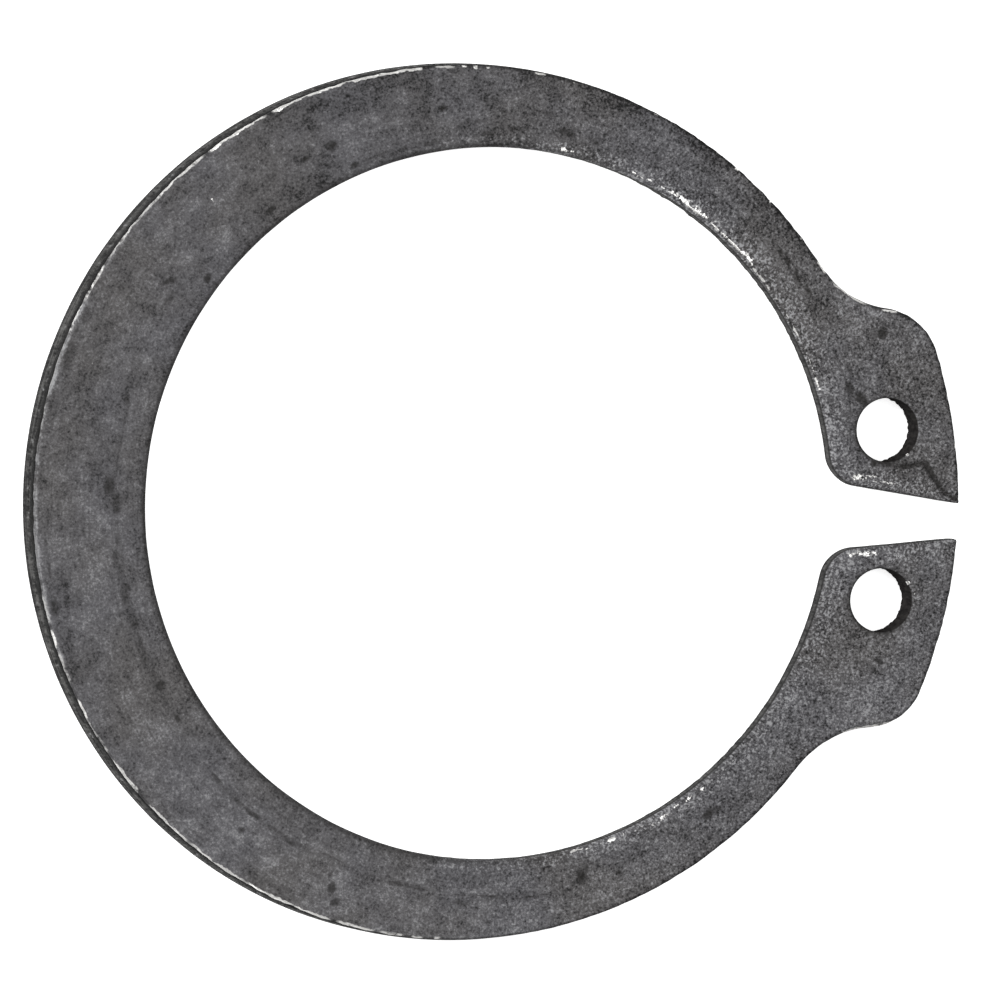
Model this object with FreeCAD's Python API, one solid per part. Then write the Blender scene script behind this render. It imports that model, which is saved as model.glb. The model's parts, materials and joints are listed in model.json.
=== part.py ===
import FreeCAD, Part
import math
import os

# External retaining ring for a 28 mm shaft, sheared from spring steel sheet.
# The bore's axis is Z, the gap between the two lugs points along +X, and the
# origin is on the bore's axis in the middle of the thickness.  The ring lies
# flat with its bottom face down.

# Driving dimensions, in millimetres and degrees

bore_d = 25.9             # free inside diameter, sprung over the shaft
thickness = 1.5           # sheet thickness
back_width = 4.27         # radial width opposite the gap, the widest place
back_shift = 1.29         # how far the back arc's centre lies behind the bore's
arm_radius_gain = 0.46    # how much flatter the arms' outer arcs are than the back arc
arm_start_deg = 104.6     # where an arm's arc takes over from the back arc

lug_height = 4.82         # from the bore out to the lugs' ends
lug_shoulder_deg = 20.7   # where the rounded shoulder meets a lug's end
lug_shoulder_r = 2.2      # rounding of that shoulder
arm_fillet_r = 3.88       # hollow between an arm and its lug

gap_at_tips = 1.29        # free gap between the lugs' sharp tips
gap_face_deg = 7.2        # how much each gap face leans, so that the gap widens inwards
gap_corner_r = 1.3        # rounding between a gap face and the bore

hole_d = 2.33             # plier holes
hole_from_bore = 2.25     # from the bore out to a plier hole's centre
hole_half_angle_deg = 11.82   # half the angle between the two plier holes
hole_pair_shift_deg = 0.5     # the pair is punched this far round from the gap's middle

# Sheared edges: the bore, the gap and the holes were cut from the top face, and
# the outer outline from the bottom face.  Each cut starts with a rolled edge,
# goes on as a smooth land and ends in a rough break that leans away.

bore_roll_r = 0.18        # rolled top edge of the bore and of the gap
bore_break = 0.16         # how far the bore's break leans out at the bottom face
gap_break = 0.02          # the same for the gap faces
land_share = 0.6          # share of the thickness that is roll and smooth land
hole_roll_r = 0.1         # rolled top edge of a plier hole
hole_break = 0.03         # how far a hole's break leans out at the bottom face
outer_roll_r = 0.16       # rolled bottom edge of the outer outline
outer_break = 0.05        # how far the outer break leans in at the top face
burr_wear = 0.05          # worn flat along the outer top edge

# The web between the upper hole and the gap sank a little when it was sheared,
# and left a facet that ends in a crease running out to the tip.

facet_width = 0.86        # from the gap face to the facet's hinge line
facet_drop = 0.11         # depth of the facet at the gap face
crease_deg = 45.0         # how steeply the crease runs down to the tip
crease_to_tip = 0.2       # where the crease stops short of the tip, along the gap face

# Values worked out from the driving dimensions

bore_r = bore_d / 2
z_top = thickness / 2
z_bottom = -thickness / 2
z_bore_land = z_top - land_share * thickness
z_outer_land = z_bottom + land_share * thickness
lug_r = bore_r + lug_height
back_r = bore_r + back_width - back_shift
arm_r = back_r + arm_radius_gain
hole_r = hole_d / 2
hole_circle_r = bore_r + hole_from_bore
half_gap = gap_at_tips / 2
past = thickness          # how far a cutting shape runs past what it cuts

UP = FreeCAD.Vector(0, 0, 1)


def polar(radius, angle_deg, centre=FreeCAD.Vector()):
    """A point at a distance and an angle from a centre."""
    angle = math.radians(angle_deg)
    return centre + FreeCAD.Vector(radius * math.cos(angle), radius * math.sin(angle), 0)


def angle_of(vector):
    return math.degrees(math.atan2(vector.y, vector.x))


def lift(point, z):
    return FreeCAD.Vector(point.x, point.y, z)


def mirrored(point):
    return FreeCAD.Vector(point.x, -point.y, point.z)


def arc(centre, radius, start_deg, end_deg, z):
    """An arc about a centre, from one angle to the other, at one height."""
    ends = [lift(polar(radius, deg, centre), z) for deg in (start_deg, end_deg)]
    middle = lift(polar(radius, (start_deg + end_deg) / 2, centre), z)
    return Part.Arc(ends[0], middle, ends[1]).toShape()


# Outer outline: back arc, arm arcs, hollows, shoulders and the lugs' ends

back_centre = FreeCAD.Vector(-back_shift, 0, 0)
arm_centre = polar(back_r - arm_r, arm_start_deg, back_centre)
shoulder_centre = polar(lug_r - lug_shoulder_r, lug_shoulder_deg)


def centre_touching_both(first, first_distance, second, second_distance):
    """The point at given distances from two centres, on the side away from the bore."""
    line = second - first
    length = line.Length
    along = (length ** 2 + first_distance ** 2 - second_distance ** 2) / (2 * length)
    aside = math.sqrt(first_distance ** 2 - along ** 2)
    direction = line / length
    left_hand = FreeCAD.Vector(-direction.y, direction.x, 0)
    return first + direction * along + left_hand * aside


fillet_centre = centre_touching_both(
    arm_centre, arm_r + arm_fillet_r, shoulder_centre, arm_fillet_r + lug_shoulder_r)


def outer_outline(grow, z):
    """The closed outer outline, grown outwards and laid at a height."""
    arm_end = angle_of(fillet_centre - arm_centre)
    hollow_start = angle_of(arm_centre - fillet_centre)
    hollow_end = angle_of(shoulder_centre - fillet_centre)
    shoulder_start = angle_of(fillet_centre - shoulder_centre)
    pieces = [
        (arm_centre, arm_r + grow, arm_start_deg, arm_end),
        (fillet_centre, arm_fillet_r - grow, hollow_start, hollow_end),
        (shoulder_centre, lug_shoulder_r + grow, shoulder_start, lug_shoulder_deg)]
    edges = [arc(back_centre, back_r + grow, arm_start_deg, 360 - arm_start_deg, z)]
    edges += [arc(*piece, z) for piece in pieces]
    edges += [arc(mirrored(centre), radius, -start, -end, z)
              for centre, radius, start, end in pieces]
    edges.append(arc(FreeCAD.Vector(), lug_r + grow, -lug_shoulder_deg, lug_shoulder_deg, z))
    return Part.Wire(Part.__sortEdges__(edges))


# Opening: the bore, the rounded corners and the gap, cut with one shape

tip = FreeCAD.Vector(math.sqrt(lug_r ** 2 - half_gap ** 2), half_gap, 0)
gap_outwards = polar(1, -gap_face_deg)
gap_into_lug = polar(1, 90 - gap_face_deg)


def opening_outline(bore_grow, gap_grow, z):
    """The closed outline of the bore and the gap, run on past the lugs' tips."""
    radius = bore_r + bore_grow
    on_face = tip + gap_into_lug * (gap_grow + gap_corner_r)
    reach = on_face.dot(gap_outwards)
    across = on_face.Length ** 2 - (radius + gap_corner_r) ** 2
    corner_centre = on_face - gap_outwards * (reach - math.sqrt(reach ** 2 - across))
    corner_end = corner_centre - gap_into_lug * gap_corner_r
    far_end = tip + gap_into_lug * gap_grow + gap_outwards * past
    corner_angle = angle_of(corner_centre)
    face_angle = angle_of(gap_into_lug) - 180
    turned = corner_angle - 180
    edges = [arc(FreeCAD.Vector(), radius, corner_angle, 360 - corner_angle, z)]
    edges.append(arc(corner_centre, gap_corner_r, turned, face_angle, z))
    edges.append(arc(mirrored(corner_centre), gap_corner_r, -turned, -face_angle, z))
    for side in (lambda point: point, mirrored):
        edges.append(Part.makeLine(lift(side(corner_end), z), lift(side(far_end), z)))
    edges.append(Part.makeLine(lift(far_end, z), lift(mirrored(far_end), z)))
    return Part.Wire(Part.__sortEdges__(edges))


def edges_along(solid, wire):
    """The edges of a solid that lie on a wire."""
    found = []
    for edge in solid.Edges:
        middle = edge.valueAt((edge.FirstParameter + edge.LastParameter) / 2)
        if Part.Vertex(middle).distToShape(wire)[0] < 1e-5:
            found.append(edge)
    return found


def blank():
    """The outer form: rolled bottom edge, smooth land, leaning break, worn top edge."""
    outlines = [outer_outline(0, z_bottom), outer_outline(0, z_outer_land)]
    outlines.append(outer_outline(-outer_break, z_top))
    form = Part.makeLoft(outlines, True, True)
    form = form.makeFillet(outer_roll_r, edges_along(form, outlines[0]))
    return form.makeChamfer(burr_wear, edges_along(form, outlines[-1]))


def with_opening(form):
    """The form with its bore and gap cut out and their top edge rolled."""
    steepening = past / (z_bore_land - z_bottom)
    low = opening_outline(
        bore_break * (1 + steepening), gap_break * (1 + steepening), z_bottom - past)
    land = opening_outline(0, 0, z_bore_land)
    high = opening_outline(0, 0, z_top + past)
    form = form.cut(Part.makeLoft([low, land, high], True, True))
    top_edge = opening_outline(0, 0, z_top)
    return form.makeFillet(bore_roll_r, edges_along(form, top_edge))


def plier_hole(angle_deg):
    """The cutting shape of one plier hole, turned about the hole's own axis."""
    flare = hole_break * (1 + past / (z_bore_land - z_bottom))
    roll_bend = hole_r + hole_roll_r * (1 - math.sqrt(0.5))
    roll_bend_z = z_top - hole_roll_r * (1 - math.sqrt(0.5))
    corners = [
        FreeCAD.Vector(0, 0, z_top + past),
        FreeCAD.Vector(0, 0, z_bottom - past),
        FreeCAD.Vector(hole_r + flare, 0, z_bottom - past),
        FreeCAD.Vector(hole_r, 0, z_bore_land),
        FreeCAD.Vector(hole_r, 0, z_top - hole_roll_r)]
    roll_end = FreeCAD.Vector(hole_r + hole_roll_r, 0, z_top)
    rim = FreeCAD.Vector(hole_r + hole_roll_r, 0, z_top + past)
    edges = [Part.makeLine(a, b) for a, b in zip(corners, corners[1:])]
    roll_middle = FreeCAD.Vector(roll_bend, 0, roll_bend_z)
    edges.append(Part.Arc(corners[-1], roll_middle, roll_end).toShape())
    edges.append(Part.makeLine(roll_end, rim))
    edges.append(Part.makeLine(rim, corners[0]))
    profile = Part.Face(Part.Wire(edges))
    hole = profile.revolve(FreeCAD.Vector(), UP, 360)
    hole.translate(polar(hole_circle_r, angle_deg))
    return hole


def sunken_facet():
    """The wedge above the sunken web, trimmed along the crease that runs to the tip."""
    along = gap_outwards * -1
    hinge = lift(tip + gap_into_lug * facet_width, z_top)
    slope = facet_drop / facet_width
    low = lift(tip - gap_into_lug * past, z_top - slope * (facet_width + past))
    high = lift(tip - gap_into_lug * past, z_top + past)
    section = Part.Face(Part.makePolygon([hinge, low, high, hinge]))
    wedge = section.extrude(along * (lug_height + past))
    wedge.translate(gap_outwards * -crease_to_tip)
    crease_run = polar(1, angle_of(along) - crease_deg)
    crease_foot = tip + along * crease_to_tip
    corners = [crease_foot - crease_run * past,
               crease_foot + crease_run * lug_height,
               crease_foot + crease_run * lug_height + along * 2 * lug_height,
               crease_foot - crease_run * past + along * 2 * lug_height]
    corners = [lift(corner, z_bottom) for corner in corners]
    region = Part.Face(Part.makePolygon(corners + corners[:1]))
    return wedge.common(region.extrude(UP * (thickness + past)))


ring = with_opening(blank())
for side in (1, -1):
    ring = ring.cut(plier_hole(side * hole_half_angle_deg + hole_pair_shift_deg))
ring = ring.cut(sunken_facet())

os.makedirs("parts", exist_ok=True)
ring.exportStep("parts/retaining_ring.step")
print("solids", len(ring.Solids), "valid", ring.isValid(), "volume", round(ring.Volume, 3))
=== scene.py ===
"""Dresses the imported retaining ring: a fine mesh with sheared edges, in phosphated steel."""

import json
import math

import bpy
import numpy as np
from bpy.props import FloatProperty, FloatVectorProperty, PointerProperty
from mathutils import Matrix, Vector, kdtree, noise
from mathutils.geometry import delaunay_2d_cdt


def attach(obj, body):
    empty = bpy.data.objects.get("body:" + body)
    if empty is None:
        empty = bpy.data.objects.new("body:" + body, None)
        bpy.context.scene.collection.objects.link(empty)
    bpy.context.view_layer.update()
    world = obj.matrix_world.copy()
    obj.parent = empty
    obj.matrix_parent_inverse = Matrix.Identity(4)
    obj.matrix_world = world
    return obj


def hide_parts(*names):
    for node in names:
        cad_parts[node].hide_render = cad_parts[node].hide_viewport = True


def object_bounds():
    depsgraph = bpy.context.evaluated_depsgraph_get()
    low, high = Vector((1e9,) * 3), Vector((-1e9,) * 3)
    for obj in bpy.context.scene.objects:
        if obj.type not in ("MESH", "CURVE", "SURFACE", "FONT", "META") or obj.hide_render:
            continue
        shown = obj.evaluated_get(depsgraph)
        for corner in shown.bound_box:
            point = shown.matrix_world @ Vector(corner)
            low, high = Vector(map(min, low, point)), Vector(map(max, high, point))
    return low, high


bl_info = {
    "name": "Retaining ring",
    "version": (1, 0, 0),
    "blender": (4, 5, 0),
    "location": "3D View > Sidebar > Ring",
    "description": "Builds a sheared and phosphated retaining ring on a pale studio floor",
    "category": "Add Mesh",
}

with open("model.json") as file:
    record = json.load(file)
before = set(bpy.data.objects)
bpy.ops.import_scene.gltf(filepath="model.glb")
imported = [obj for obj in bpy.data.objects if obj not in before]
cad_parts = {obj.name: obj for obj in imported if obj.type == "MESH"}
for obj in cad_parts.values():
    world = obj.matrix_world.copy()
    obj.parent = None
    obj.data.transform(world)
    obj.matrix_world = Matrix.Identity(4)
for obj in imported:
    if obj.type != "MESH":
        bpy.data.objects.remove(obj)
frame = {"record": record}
CAD_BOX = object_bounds()
NODE = "retaining_ring"
MM = 0.001

MOUNTS = {mount["name"]: mount for mount in frame["record"]["mounts"]}
BORE_R = MOUNTS["shaft_groove_seat"]["dims"]["r_mm"] * MM
HOLES = [MOUNTS["plier_hole_plus_y"], MOUNTS["plier_hole_minus_y"]]
HOLE_R = HOLES[0]["dims"]["r_mm"] * MM
Z_BOTTOM = CAD_BOX[0][2]
Z_TOP = CAD_BOX[1][2]
THICKNESS = Z_TOP - Z_BOTTOM
LUG_R = CAD_BOX[1][0]

FACE, OUTER, OPENING, HOLE = range(4)    # where a point is: on a flat face or one of the walls


def length(name, description, default_mm):
    """A length property, given in millimetres and held in metres."""
    return FloatProperty(
        name=name, description=description, default=default_mm * MM,
        unit="LENGTH", subtype="DISTANCE", precision=6)


def angle(name, description, default_deg):
    return FloatProperty(
        name=name, description=description, default=math.radians(default_deg),
        unit="ROTATION", subtype="ANGLE")


def share(name, description, default):
    return FloatProperty(
        name=name, description=description, default=default, min=0.0, max=1.0,
        subtype="FACTOR")


def power(name, description, default_watts):
    return FloatProperty(
        name=name, description=description, default=default_watts, min=0.0, unit="POWER")


def colour(name, description, default):
    return FloatVectorProperty(
        name=name, description=description, default=default, size=3, min=0.0, max=1.0,
        subtype="COLOR")


class RingOutline(bpy.types.PropertyGroup):
    """The outline seen from above, as in the part's own model."""
    back_width: length("Back width", "Radial width opposite the gap", 4.27)
    back_shift: length("Back shift", "How far the back arc's centre lies behind the bore's", 1.29)
    arm_radius_gain: length("Arm radius gain", "How much flatter the arms' arcs are", 0.46)
    arm_start: angle("Arm start", "Where an arm's arc takes over from the back arc", 104.6)
    shoulder_at: angle("Shoulder at", "Where the shoulder meets the lug's end", 20.7)
    shoulder_r: length("Shoulder radius", "Rounding of the lug's shoulder", 2.2)
    arm_fillet_r: length("Arm fillet radius", "Hollow between arm and lug", 3.88)
    gap_at_tips: length("Gap at tips", "Free gap between the lugs' tips", 1.29)
    gap_face_lean: angle("Gap face lean", "How much each gap face leans", 7.2)
    gap_corner_r: length("Gap corner radius", "Rounding between gap face and bore", 1.3)


class ShearedEdges(bpy.types.PropertyGroup):
    """The section of the edges, from the rolled side through the land to the break."""
    bore_roll_r: length("Bore roll radius", "Rolled top edge of bore and gap", 0.18)
    bore_break: length("Bore break", "How far the bore's break leans out", 0.16)
    gap_break: length("Gap break", "How far the gap's break leans out", 0.02)
    land_share: share("Land share", "Share of the thickness that is roll and land", 0.6)
    hole_roll_r: length("Hole roll radius", "Rolled top edge of a plier hole", 0.1)
    hole_break: length("Hole break", "How far a hole's break leans out", 0.03)
    outer_roll_r: length("Outer roll radius", "Rolled bottom edge of the outline", 0.16)
    outer_break: length("Outer break", "How far the outer break leans in", 0.05)
    burr_wear: length("Burr wear", "Worn flat along the outer top edge", 0.05)
    groove_depth: length("Groove depth", "Tear just below the worn burr", 0.035)
    groove_width: length("Groove width", "Height of that tear on the wall", 0.09)
    facet_width: length("Facet width", "From the gap face to the facet's hinge", 0.86)
    facet_drop: length("Facet drop", "Depth of the facet at the gap face", 0.11)
    crease_turn: angle("Crease turn", "How steeply the crease runs to the tip", 45.0)
    crease_to_tip: length("Crease to tip", "Where the crease stops short of the tip", 0.2)
    tear_roughness: length("Tear roughness", "Height of the torn grain in the breaks", 0.030)
    tear_size: length("Tear size", "Spacing of the torn grain's bumps", 0.33)
    waviness: length("Waviness", "Height of the slow waves along every edge", 0.006)
    nick_depth: length("Nick depth", "Depth of the nicks along the worn burr", 0.04)
    valley_depth: length("Valley depth", "Depth of the fold where the facet starts", 0.05)
    valley_width: length("Valley width", "Half width of that fold", 0.13)


class RingMeshing(bpy.types.PropertyGroup):
    """How finely the mesh is divided."""
    edge_step: length("Edge step", "Spacing of points along the outlines", 0.105)
    top_step: length("Top step", "Spacing of points on the top face", 0.11)
    bottom_step: length("Bottom step", "Spacing of points on the bottom face", 0.25)
    facet_step: length("Facet step", "Spacing of points round the sunken facet", 0.06)


class PhosphateFinish(bpy.types.PropertyGroup):
    """Colours and grain of the coat and of the steel where it is worn through."""
    crystal: colour("Crystal", "Lightest crystals of the coat", (0.26, 0.26, 0.267))
    # Pore is also the colour of the painted shade and dark reflection on the walls
    pore: colour("Pore", "Darkest pores of the coat", (0.014, 0.014, 0.014))
    cool: colour("Cool coat", "Patches with a bluish cast", (0.0990, 0.0972, 0.1030))
    warm: colour("Warm coat", "Patches with a brownish cast", (0.0973, 0.0937, 0.0942))
    # Oil is also the colour of the painted shade on the rolled rims and in the facet's fold
    oil: colour("Oil", "Smudges and streaks of dried oil", (0.022, 0.021, 0.020))
    torn: colour("Torn steel", "Lands and breaks of the walls", (0.072, 0.071, 0.069))
    burnished: colour("Burnished", "Walls of the plier holes", (0.032, 0.030, 0.029))
    burnished_dark: colour("Burnished dark", "Oily places on those walls", (0.014, 0.013, 0.013))
    bare: colour("Bare steel", "Steel where the coat is worn off", (0.82, 0.81, 0.79))
    grain: length("Grain", "Size of the coat's crystals", 0.075)
    patch: length("Patch", "Size of the coat's lighter and darker patches", 0.9)
    streak_length: length("Streak length", "Length of the faint streaks round the ring", 2.6)
    streak_width: length("Streak width", "Width of those streaks", 0.14)
    relief: length("Relief", "Height that the grain's shading stands for", 0.016)


class Studio(bpy.types.PropertyGroup):
    """The camera, the lights and the floor."""
    view_tilt: angle("View tilt", "Angle between the view and the ring's axis", 15.44)
    view_swing: angle("View swing", "Side that the camera leans to, from +X", 174.19)
    picture_up: angle("Picture up", "Direction in the ring's plane that points up", 92.67)
    view_distance: length("View distance", "From the camera to what it aims at", 639.4)
    aim_x: length("Aim x", "Where the middle of the picture falls", 0.49)
    aim_y: length("Aim y", "Where the middle of the picture falls", 0.136)
    picture_width: length("Picture width", "What the picture spans at the ring", 36.353)
    floor: colour("Floor", "Pale floor", (0.86, 0.86, 0.86))
    floor_glow: share("Floor glow", "Light that the floor gives off by itself", 0.80)
    sky: share("Sky", "Strength of the even light from all sides", 0.35)
    key_power: power("Key power", "Light from the side of the ring's back", 9.0)
    top_power: power("Top power", "Light from above the ring", 6.0)


def polar(radius, turn, centre=Vector((0.0, 0.0))):
    """A point at a distance and an angle from a centre."""
    return centre + Vector((radius * math.cos(turn), radius * math.sin(turn)))


def angle_of(vector):
    return math.atan2(vector.y, vector.x)


def mirrored(points):
    return [Vector((p.x, -p.y)) for p in points]


def arc(centre, radius, start, end, count):
    """Evenly spaced points of an arc, without its last one."""
    return [polar(radius, start + (end - start) * i / count, centre) for i in range(count)]


def line(start, end, count):
    """Evenly spaced points of a line, without its last one."""
    return [start.lerp(end, i / count) for i in range(count)]


class Outline:
    """The ring's outline at any level: the outer side and the opening, each with its own inset."""

    def __init__(self, sizes, step):
        self.sizes = sizes
        self.back_r = BORE_R + sizes.back_width - sizes.back_shift
        self.arm_r = self.back_r + sizes.arm_radius_gain
        self.back_centre = Vector((-sizes.back_shift, 0.0))
        self.arm_centre = polar(self.back_r - self.arm_r, sizes.arm_start, self.back_centre)
        self.shoulder_centre = polar(LUG_R - sizes.shoulder_r, sizes.shoulder_at)
        self.fillet_centre = self.touching_both(
            self.arm_centre, self.arm_r + sizes.arm_fillet_r,
            self.shoulder_centre, sizes.shoulder_r + sizes.arm_fillet_r)
        half_gap = sizes.gap_at_tips / 2
        self.tip = Vector((math.sqrt(LUG_R ** 2 - half_gap ** 2), half_gap))
        self.outwards = polar(1.0, -sizes.gap_face_lean)
        self.into_lug = polar(1.0, math.pi / 2 - sizes.gap_face_lean)
        self.step = step
        self.counts = {}

    @staticmethod
    def touching_both(first, first_distance, second, second_distance):
        """The point at given distances from two centres, on the side away from the bore."""
        between = second - first
        along = between.length_squared + first_distance ** 2 - second_distance ** 2
        along /= 2 * between.length
        aside = math.sqrt(first_distance ** 2 - along ** 2)
        direction = between.normalized()
        return first + direction * along + Vector((-direction.y, direction.x)) * aside

    def count(self, name, size):
        """How many steps a stretch has, the same at each level."""
        return self.counts.setdefault(name, max(3, round(size / self.step)))

    def arc(self, name, centre, radius, start, end):
        return arc(centre, radius, start, end, self.count(name, radius * abs(end - start)))

    def tip_at(self, outer_inset, gap_inset):
        """Where the lug's end meets the gap face."""
        radius = LUG_R - outer_inset
        on_face = self.tip + self.into_lug * gap_inset
        reach = on_face.dot(self.outwards)
        root = math.sqrt(reach ** 2 - on_face.length_squared + radius ** 2)
        return on_face + self.outwards * (root - reach)

    def outer_half(self, outer_inset, gap_inset):
        """From the upper tip round the lug and the arm to the back."""
        sizes = self.sizes
        tip = self.tip_at(outer_inset, gap_inset)
        origin = Vector((0.0, 0.0))
        to_arm = angle_of(self.arm_centre - self.fillet_centre)
        to_shoulder = angle_of(self.shoulder_centre - self.fillet_centre)
        points = self.arc("lug", origin, LUG_R - outer_inset, angle_of(tip), sizes.shoulder_at)
        points += self.arc(
            "shoulder", self.shoulder_centre, sizes.shoulder_r - outer_inset,
            sizes.shoulder_at, to_shoulder + math.pi)
        points += self.arc(
            "fillet", self.fillet_centre, sizes.arm_fillet_r + outer_inset, to_shoulder, to_arm)
        points += self.arc(
            "arm", self.arm_centre, self.arm_r - outer_inset, to_arm + math.pi, sizes.arm_start)
        points += self.arc(
            "back", self.back_centre, self.back_r - outer_inset, sizes.arm_start, math.pi)
        return points + [polar(self.back_r - outer_inset, math.pi, self.back_centre)]

    def opening_half(self, outer_inset, bore_inset, gap_inset):
        """From the upper tip along the gap face, round the corner and the bore to the back."""
        corner_r = self.sizes.gap_corner_r
        radius = BORE_R + bore_inset
        tip = self.tip_at(outer_inset, gap_inset)
        on_face = self.tip + self.into_lug * (gap_inset + corner_r)
        reach = on_face.dot(self.outwards)
        across = on_face.length_squared - (radius + corner_r) ** 2
        centre = on_face - self.outwards * (reach - math.sqrt(reach ** 2 - across))
        corner_end = centre - self.into_lug * corner_r
        face_turn = angle_of(self.into_lug) - math.pi
        points = line(tip, corner_end, self.count("gap", (tip - corner_end).length))
        points += self.arc("corner", centre, corner_r, face_turn, angle_of(centre) - math.pi)
        points += self.arc("bore", Vector((0.0, 0.0)), radius, angle_of(centre), math.pi)
        return points + [polar(radius, math.pi)]

    def loop(self, outer_inset, bore_inset, gap_inset):
        """The whole closed outline, and the place in it where the opening's side starts."""
        outer = self.outer_half(outer_inset, gap_inset)
        opening = self.opening_half(outer_inset, bore_inset, gap_inset)
        points = outer + mirrored(outer[:-1])[::-1]
        split = len(points)
        points += mirrored(opening[1:]) + opening[1:-1][::-1]
        return points, split


def rolled(depth, radius):
    """Inset of a rolled edge at a depth below its flat face."""
    if depth >= radius:
        return 0.0
    return radius - math.sqrt(radius ** 2 - (radius - depth) ** 2)


def smooth(value, low, high):
    """0 below low, 1 above high, and smooth between."""
    t = min(1.0, max(0.0, (value - low) / (high - low)))
    return t * t * (3 - 2 * t)


# Rows of points up the walls: the turns that divide a rolled edge, in degrees, the steps between
# the two rolled edges, and the least distance between rows
ROLL_TURNS = range(0, 91, 15)
STRAIGHT_STEPS = 10
LEAST_ROW_STEP = 0.003 * MM


def levels(edges):
    """Heights of the walls' rows of points, close together where the section bends."""
    bends = [1 - math.cos(math.radians(turn)) for turn in ROLL_TURNS]
    low, high = edges.outer_roll_r, THICKNESS - edges.bore_roll_r
    heights = [edges.outer_roll_r * bend for bend in bends]
    heights += [THICKNESS - edges.bore_roll_r * bend for bend in bends]
    heights += [THICKNESS - (edges.burr_wear + edges.groove_width * part) for part in (0, 0.5, 1)]
    heights += [low + (high - low) * i / STRAIGHT_STEPS for i in range(1, STRAIGHT_STEPS)]
    kept = []
    for height in sorted(round(height, 9) for height in heights):
        if not kept or height - kept[-1] > LEAST_ROW_STEP:
            kept.append(height)
    return kept


def outer_inset(edges, height):
    """Inset of the outer wall at a height above the bottom face."""
    depth = THICKNESS - height
    land_top = edges.land_share * THICKNESS
    half_groove = edges.groove_width / 2
    from_groove = abs(depth - (edges.burr_wear + half_groove))
    inset = rolled(height, edges.outer_roll_r)
    inset += edges.outer_break * max(0.0, height - land_top) / (THICKNESS - land_top)
    inset += max(0.0, edges.burr_wear - depth)
    return inset + edges.groove_depth * (1 - smooth(from_groove, 0.0, half_groove))


def opening_inset(edges, height, roll_r, lean):
    """Inset of the bore's, the gap's or a hole's wall at a height above the bottom face."""
    depth = THICKNESS - height
    land_bottom = edges.land_share * THICKNESS
    lean_here = lean * max(0.0, depth - land_bottom) / (THICKNESS - land_bottom)
    return rolled(depth, roll_r) + lean_here


class FineMesh:
    """Collects the ring's points and faces."""

    def __init__(self):
        self.points = []
        self.faces = []

    def add_row(self, flat_points, z):
        start = len(self.points)
        self.points += [Vector((p.x, p.y, z)) for p in flat_points]
        return list(range(start, len(self.points)))

    def add_wall(self, rows, solid_inside):
        """Quads between closed rows of points that lie one above the other."""
        for low, high in zip(rows, rows[1:]):
            for i in range(len(low)):
                j = (i + 1) % len(low)
                quad = [low[i], low[j], high[j], high[i]]
                self.faces.append(quad if solid_inside else quad[::-1])

    def add_face(self, outline, holes, inner_points, z, up):
        """Triangles over a flat face between its outline, its holes and points inside it."""
        indices, edges = [], []
        for rim in [outline] + holes:
            start = len(indices)
            edges += [(start + i, start + (i + 1) % len(rim)) for i in range(len(rim))]
            indices += rim
        first_inner = len(indices)
        indices += self.add_row(inner_points, z)
        flat = [self.points[i].xy / MM for i in indices]
        whole_hull, least_distance = 0, 1e-6
        found, origins = delaunay_2d_cdt(flat, edges, [], whole_hull, least_distance)[2:4]
        triangles = [[origins[i][0] for i in triangle] for triangle in found]
        for triangle in on_sheet(triangles, edges, first_inner):
            corners = [indices[i] for i in triangle]
            self.faces.append(corners if up else corners[::-1])


def sides_of(triangle):
    return [frozenset((triangle[i], triangle[i - 1])) for i in range(3)]


def on_sheet(triangles, rims, first_inner):
    """The triangles that hold a point inside the face, or join one without crossing a rim."""
    rims = {frozenset(rim) for rim in rims}
    neighbours = {}
    for number, triangle in enumerate(triangles):
        for side in sides_of(triangle):
            if side not in rims:
                neighbours.setdefault(side, []).append(number)
    reached = {number for number, triangle in enumerate(triangles)
               if max(triangle) >= first_inner}
    waiting = list(reached)
    while waiting:
        for side in sides_of(triangles[waiting.pop()]):
            for neighbour in neighbours.get(side, []):
                if neighbour not in reached:
                    reached.add(neighbour)
                    waiting.append(neighbour)
    return [triangles[number] for number in sorted(reached)]


def grid_points(step, box, keep):
    """Points of a triangular grid in a box, where keep says yes."""
    left, low, right, high = box
    row_height = step * math.sqrt(3) / 2
    found = []
    for row in range(int((high - low) / row_height) + 1):
        for column in range(int((right - left) / step) + 1):
            shift = 0.5 * (row % 2)
            point = Vector((left + step * (column + shift), low + row_height * row))
            if keep(point):
                found.append(point)
    return found


# The sunken facet: the path of the fold that starts it, how far past its hinge the top face is
# finely divided, and the distances over which its slope begins, its crease turns and, as shares
# of its length, the fold begins and ends
FOLD = [
    (14.35, 2.02), (15.3, 1.93), (15.85, 1.98), (16.3, 2.1), (16.6, 1.67), (16.93, 1.24),
    (17.2, 0.99), (17.55, 0.8)]
FACET_MARGIN = 0.6 * MM
HINGE_FADE = 0.1 * MM
CREASE_FADE = (-0.03 * MM, 0.07 * MM)
FOLD_START, FOLD_END = 0.15, 0.06


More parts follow.
